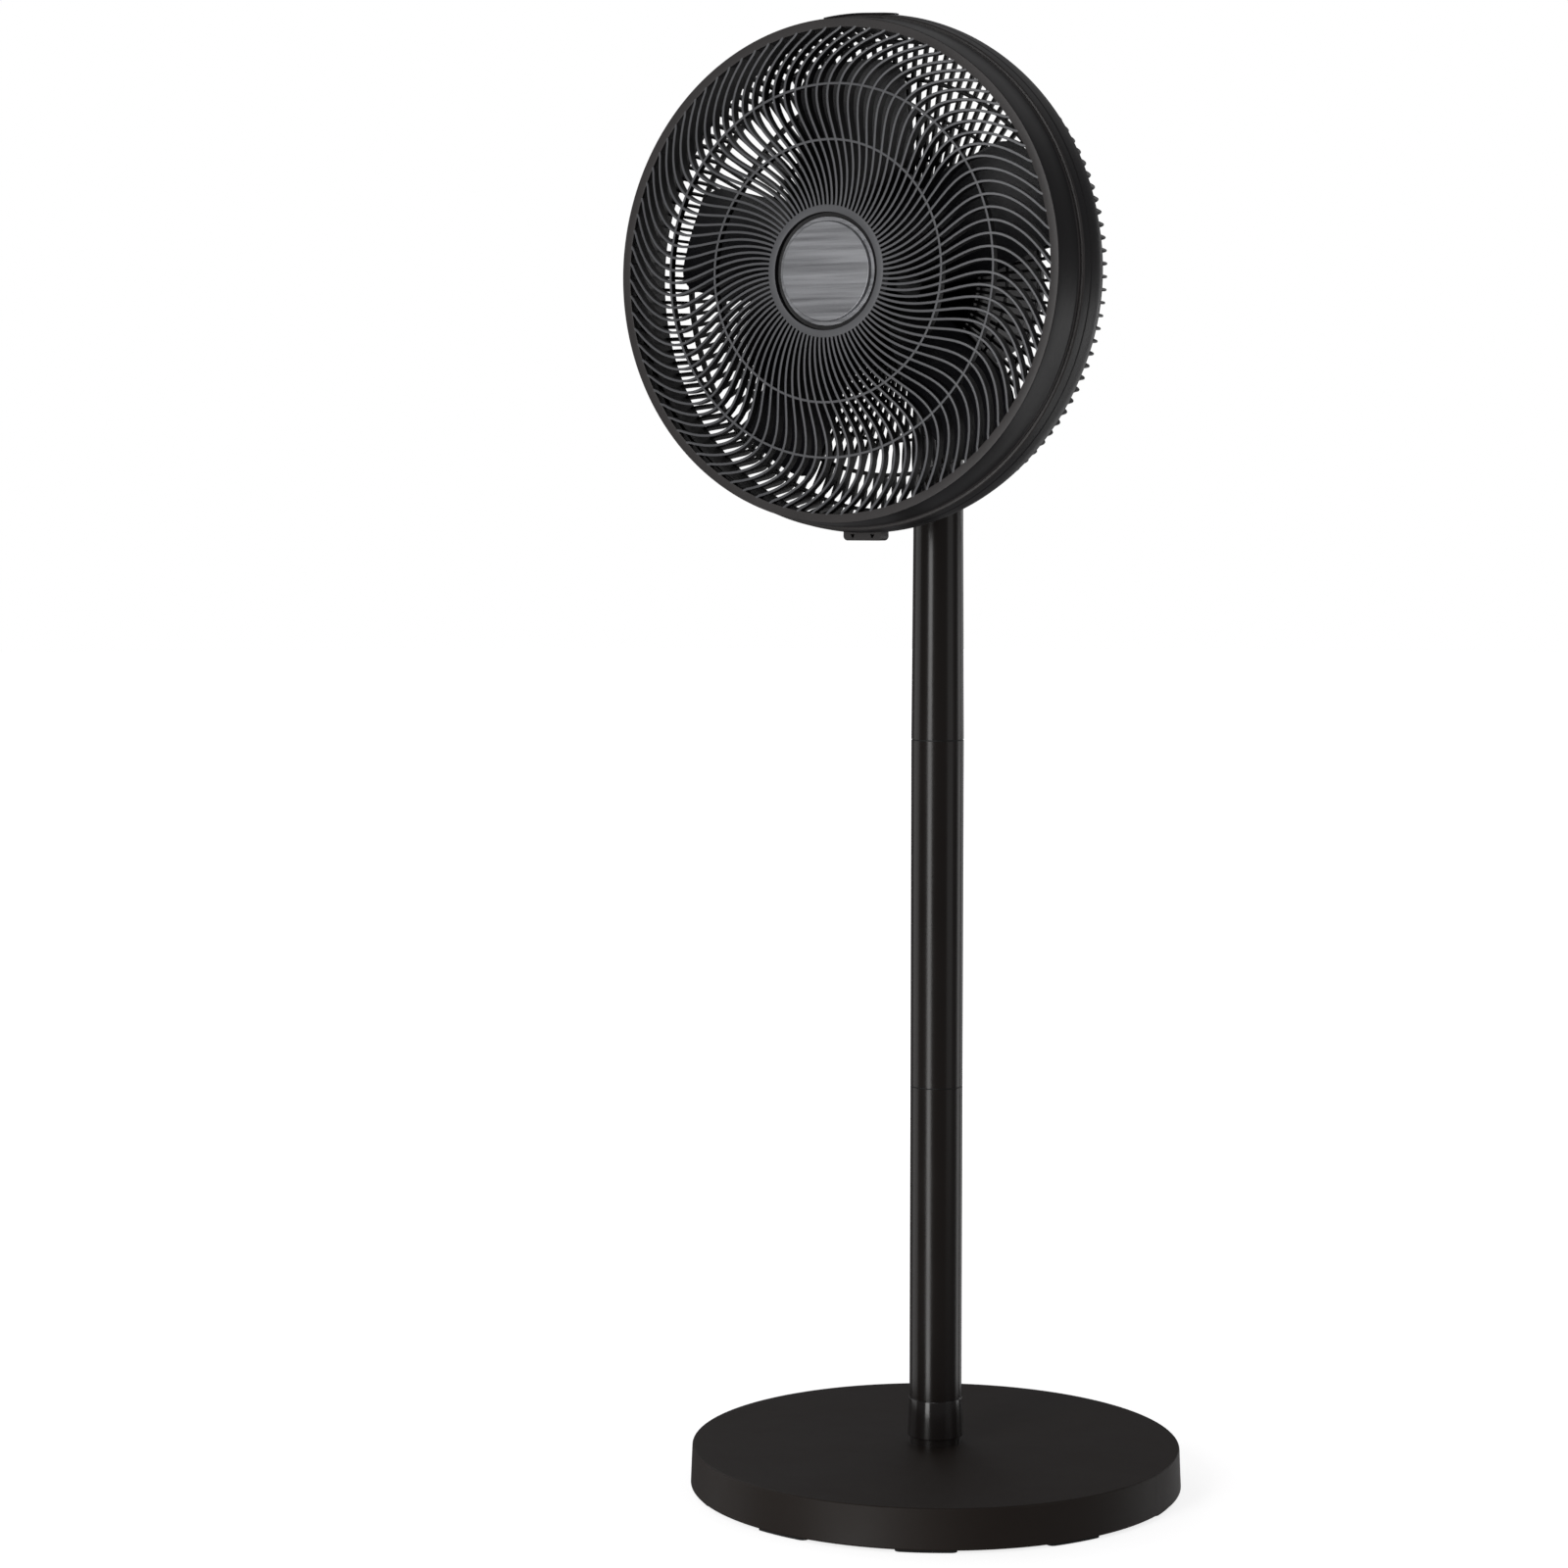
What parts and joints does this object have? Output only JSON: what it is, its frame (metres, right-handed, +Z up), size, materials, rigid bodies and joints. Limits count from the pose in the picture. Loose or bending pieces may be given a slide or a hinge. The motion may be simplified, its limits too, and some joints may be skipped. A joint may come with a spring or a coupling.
{
  "type": "pedestal fan",
  "caption": "Free-standing pedestal fan with a round weighted base, slim straight pole and round caged head that swings, tilts and spins its blades.",
  "frame": {"origin": "centre of the underside of the round base, on the floor", "axes": "+Z up along the pole, the fan blows towards -Y, +X to the right of a person in front of it"},
  "size_m": [0.3322, 0.3322, 0.9757],
  "materials": {
    "base_matt_black": "matt, fine even texture",
    "cast_iron": "as cast",
    "screw_steel": "blackened zinc",
    "rubber": "matt",
    "collar_black": "satin to gloss",
    "nut_plastic": "matt",
    "pole_black": "semi-gloss paint",
    "coupler_plastic": "matt",
    "neck_black": "semi-gloss",
    "inlet_black": "matt",
    "washer_nylon": "natural",
    "hinge_black": "matt",
    "shaft_steel": "ground",
    "bush_bronze": "sintered",
    "housing_black": "satin, fine texture",
    "mount_aluminium": "die cast",
    "lamination_steel": "stacked laminations",
    "copper_wire": "enamelled",
    "magnet_dark": "bonded ferrite",
    "circuit_green": "solder mask",
    "switch_black": "matt",
    "panel_gloss": "gloss",
    "lens_dark": "dark tinted, gloss",
    "stepper_steel": "plated",
    "grille_black": "satin to semi-gloss",
    "hub_cap_brushed": "brushed level, grey",
    "blade_black": "semi-gloss",
    "button_black": "satin"
  },
  "bodies": {
    "stand": {"base_cover": "base_matt_black", "base_weight": "cast_iron", "base_plate": "base_matt_black", "base_screws": "screw_steel", "rubber_feet": "rubber", "pole_socket": "collar_black", "socket_washer": "screw_steel", "socket_nut": "nut_plastic", "lower_pole": "pole_black", "lower_coupler": "coupler_plastic", "upper_pole": "pole_black", "upper_coupler": "coupler_plastic", "neck_column": "neck_black", "power_inlet": "inlet_black", "tilt_bolt": "screw_steel", "tilt_nut": "screw_steel", "tilt_washers": "washer_nylon"},
    "tilt_bracket": {"tilt_knuckle": "hinge_black", "swivel_post": "shaft_steel", "oscillation_gear": "washer_nylon", "post_clip": "screw_steel"},
    "head": {"motor_housing": "housing_black", "lower_bush": "bush_bronze", "upper_bush": "bush_bronze", "pivot_bridge": "hinge_black", "motor_mount": "mount_aluminium", "front_bearing": "shaft_steel", "rear_bearing": "shaft_steel", "stator_core": "lamination_steel", "stator_windings": "copper_wire", "control_board": "circuit_green", "driver_board": "circuit_green", "tact_switches": "switch_black", "rear_cover": "housing_black", "cover_screws": "screw_steel", "control_panel": "panel_gloss", "receiver_window": "lens_dark", "oscillation_motor": "stepper_steel", "rear_grille": "grille_black", "rear_grille_nut": "nut_plastic", "front_grille": "grille_black", "hub_cap": "hub_cap_brushed", "top_clip": "grille_black", "bottom_clip": "grille_black", "clip_screw": "screw_steel"},
    "fan": {"fan_blade": "blade_black", "blade_nut": "nut_plastic", "motor_shaft": "shaft_steel", "drive_pin": "screw_steel", "rotor_cup": "shaft_steel", "magnet_ring": "magnet_dark"},
    "pinion": {"oscillation_pinion": "washer_nylon"},
    "power_button_body": {"power_button": "button_black"},
    "faster_button_body": {"faster_button": "button_black"},
    "slower_button_body": {"slower_button": "button_black"},
    "timer_button_body": {"timer_button": "button_black"},
    "swing_button_body": {"swing_button": "button_black"}
  },
  "joints": [
    {"name": "head_tilt", "type": "hinge", "parent": "stand", "child": "tilt_bracket", "pos_m": [0, 0, 0.738], "axis": [-1, 0, 0], "range_deg": [-10, 25]},
    {"name": "head_swing", "type": "hinge", "parent": "tilt_bracket", "child": "head", "pos_m": [0, 0, 0.77], "axis": [0, 0, 1], "range_deg": [-40, 40]},
    {"name": "fan_spin", "type": "hinge", "parent": "head", "child": "fan", "pos_m": [0, -0.1, 0.8102], "axis": [0, -1, 0], "continuous": true},
    {"name": "pinion_spin", "type": "hinge", "parent": "head", "child": "pinion", "pos_m": [0, 0.022, 0.767], "axis": [0, 0, 1], "range_deg": [-137, 137]},
    {"name": "power_button_press", "type": "slide", "parent": "head", "child": "power_button_body", "axis": [0, -1, 0], "range_m": [0, 0.001], "stiffness_N_per_m": 500},
    {"name": "faster_button_press", "type": "slide", "parent": "head", "child": "faster_button_body", "axis": [0, -1, 0], "range_m": [0, 0.001], "stiffness_N_per_m": 500},
    {"name": "slower_button_press", "type": "slide", "parent": "head", "child": "slower_button_body", "axis": [0, -1, 0], "range_m": [0, 0.001], "stiffness_N_per_m": 500},
    {"name": "timer_button_press", "type": "slide", "parent": "head", "child": "timer_button_body", "axis": [0, -1, 0], "range_m": [0, 0.001], "stiffness_N_per_m": 500},
    {"name": "swing_button_press", "type": "slide", "parent": "head", "child": "swing_button_body", "axis": [0, -1, 0], "range_m": [0, 0.001], "stiffness_N_per_m": 500}
  ],
  "couplings": [
    {"joint": "pinion_spin", "follows": "head_swing", "ratio": 3.4}
  ]
}
